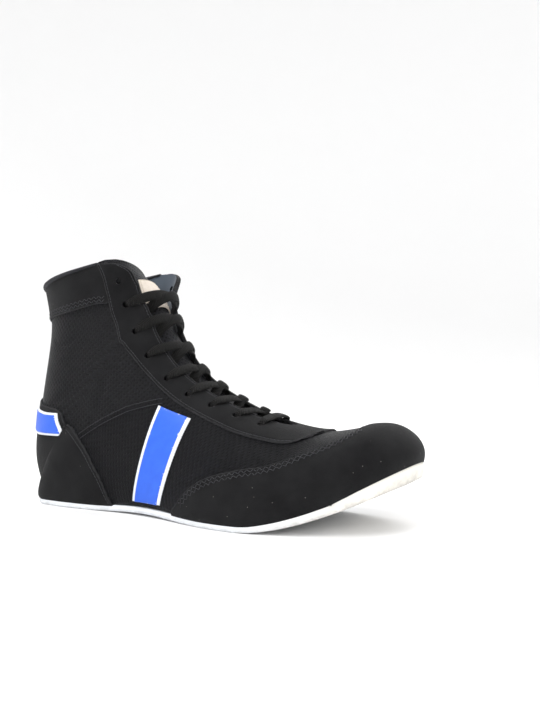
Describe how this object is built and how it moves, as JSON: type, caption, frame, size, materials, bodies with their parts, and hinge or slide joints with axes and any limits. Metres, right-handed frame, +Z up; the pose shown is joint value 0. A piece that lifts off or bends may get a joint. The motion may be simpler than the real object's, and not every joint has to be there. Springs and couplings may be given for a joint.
{
  "type": "wrestling shoe",
  "caption": "Right wrestling shoe, ankle high and empty: thin grooved rubber sole, black knit upper with suede overlays, laced throat and plain blue side and heel bands.",
  "frame": {"origin": "middle of the shoe's length and width, on the plane that the sole stands on", "axes": "+X from heel to toe, +Y to the inner side of the foot, +Z up"},
  "size_m": [0.2838, 0.1033, 0.1705],
  "materials": {
    "rubber_white": "satin",
    "knit_black": "matt knit mesh",
    "suede_black": "suede nap",
    "band_blue": "satin synthetic",
    "edging_white": "satin synthetic",
    "lining_grey": "matt",
    "label_beige": "woven",
    "lace_black": "ribbed weave"
  },
  "bodies": {
    "root": {"outsole": "rubber_white", "insole": "lining_grey", "upper": "knit_black", "tongue": "knit_black", "eyestay": "suede_black", "toe_cap": "suede_black", "heel_counter": "suede_black", "collar_band": "suede_black", "collar_binding": "knit_black", "backstay": "suede_black", "tongue_label": "label_beige", "saddle_edging_outer": "edging_white", "saddle_band_outer": "band_blue", "saddle_edging_inner": "edging_white", "saddle_band_inner": "band_blue", "heel_edging": "edging_white", "heel_band": "band_blue", "lace_crossings": "lace_black"}
  },
  "joints": []
}
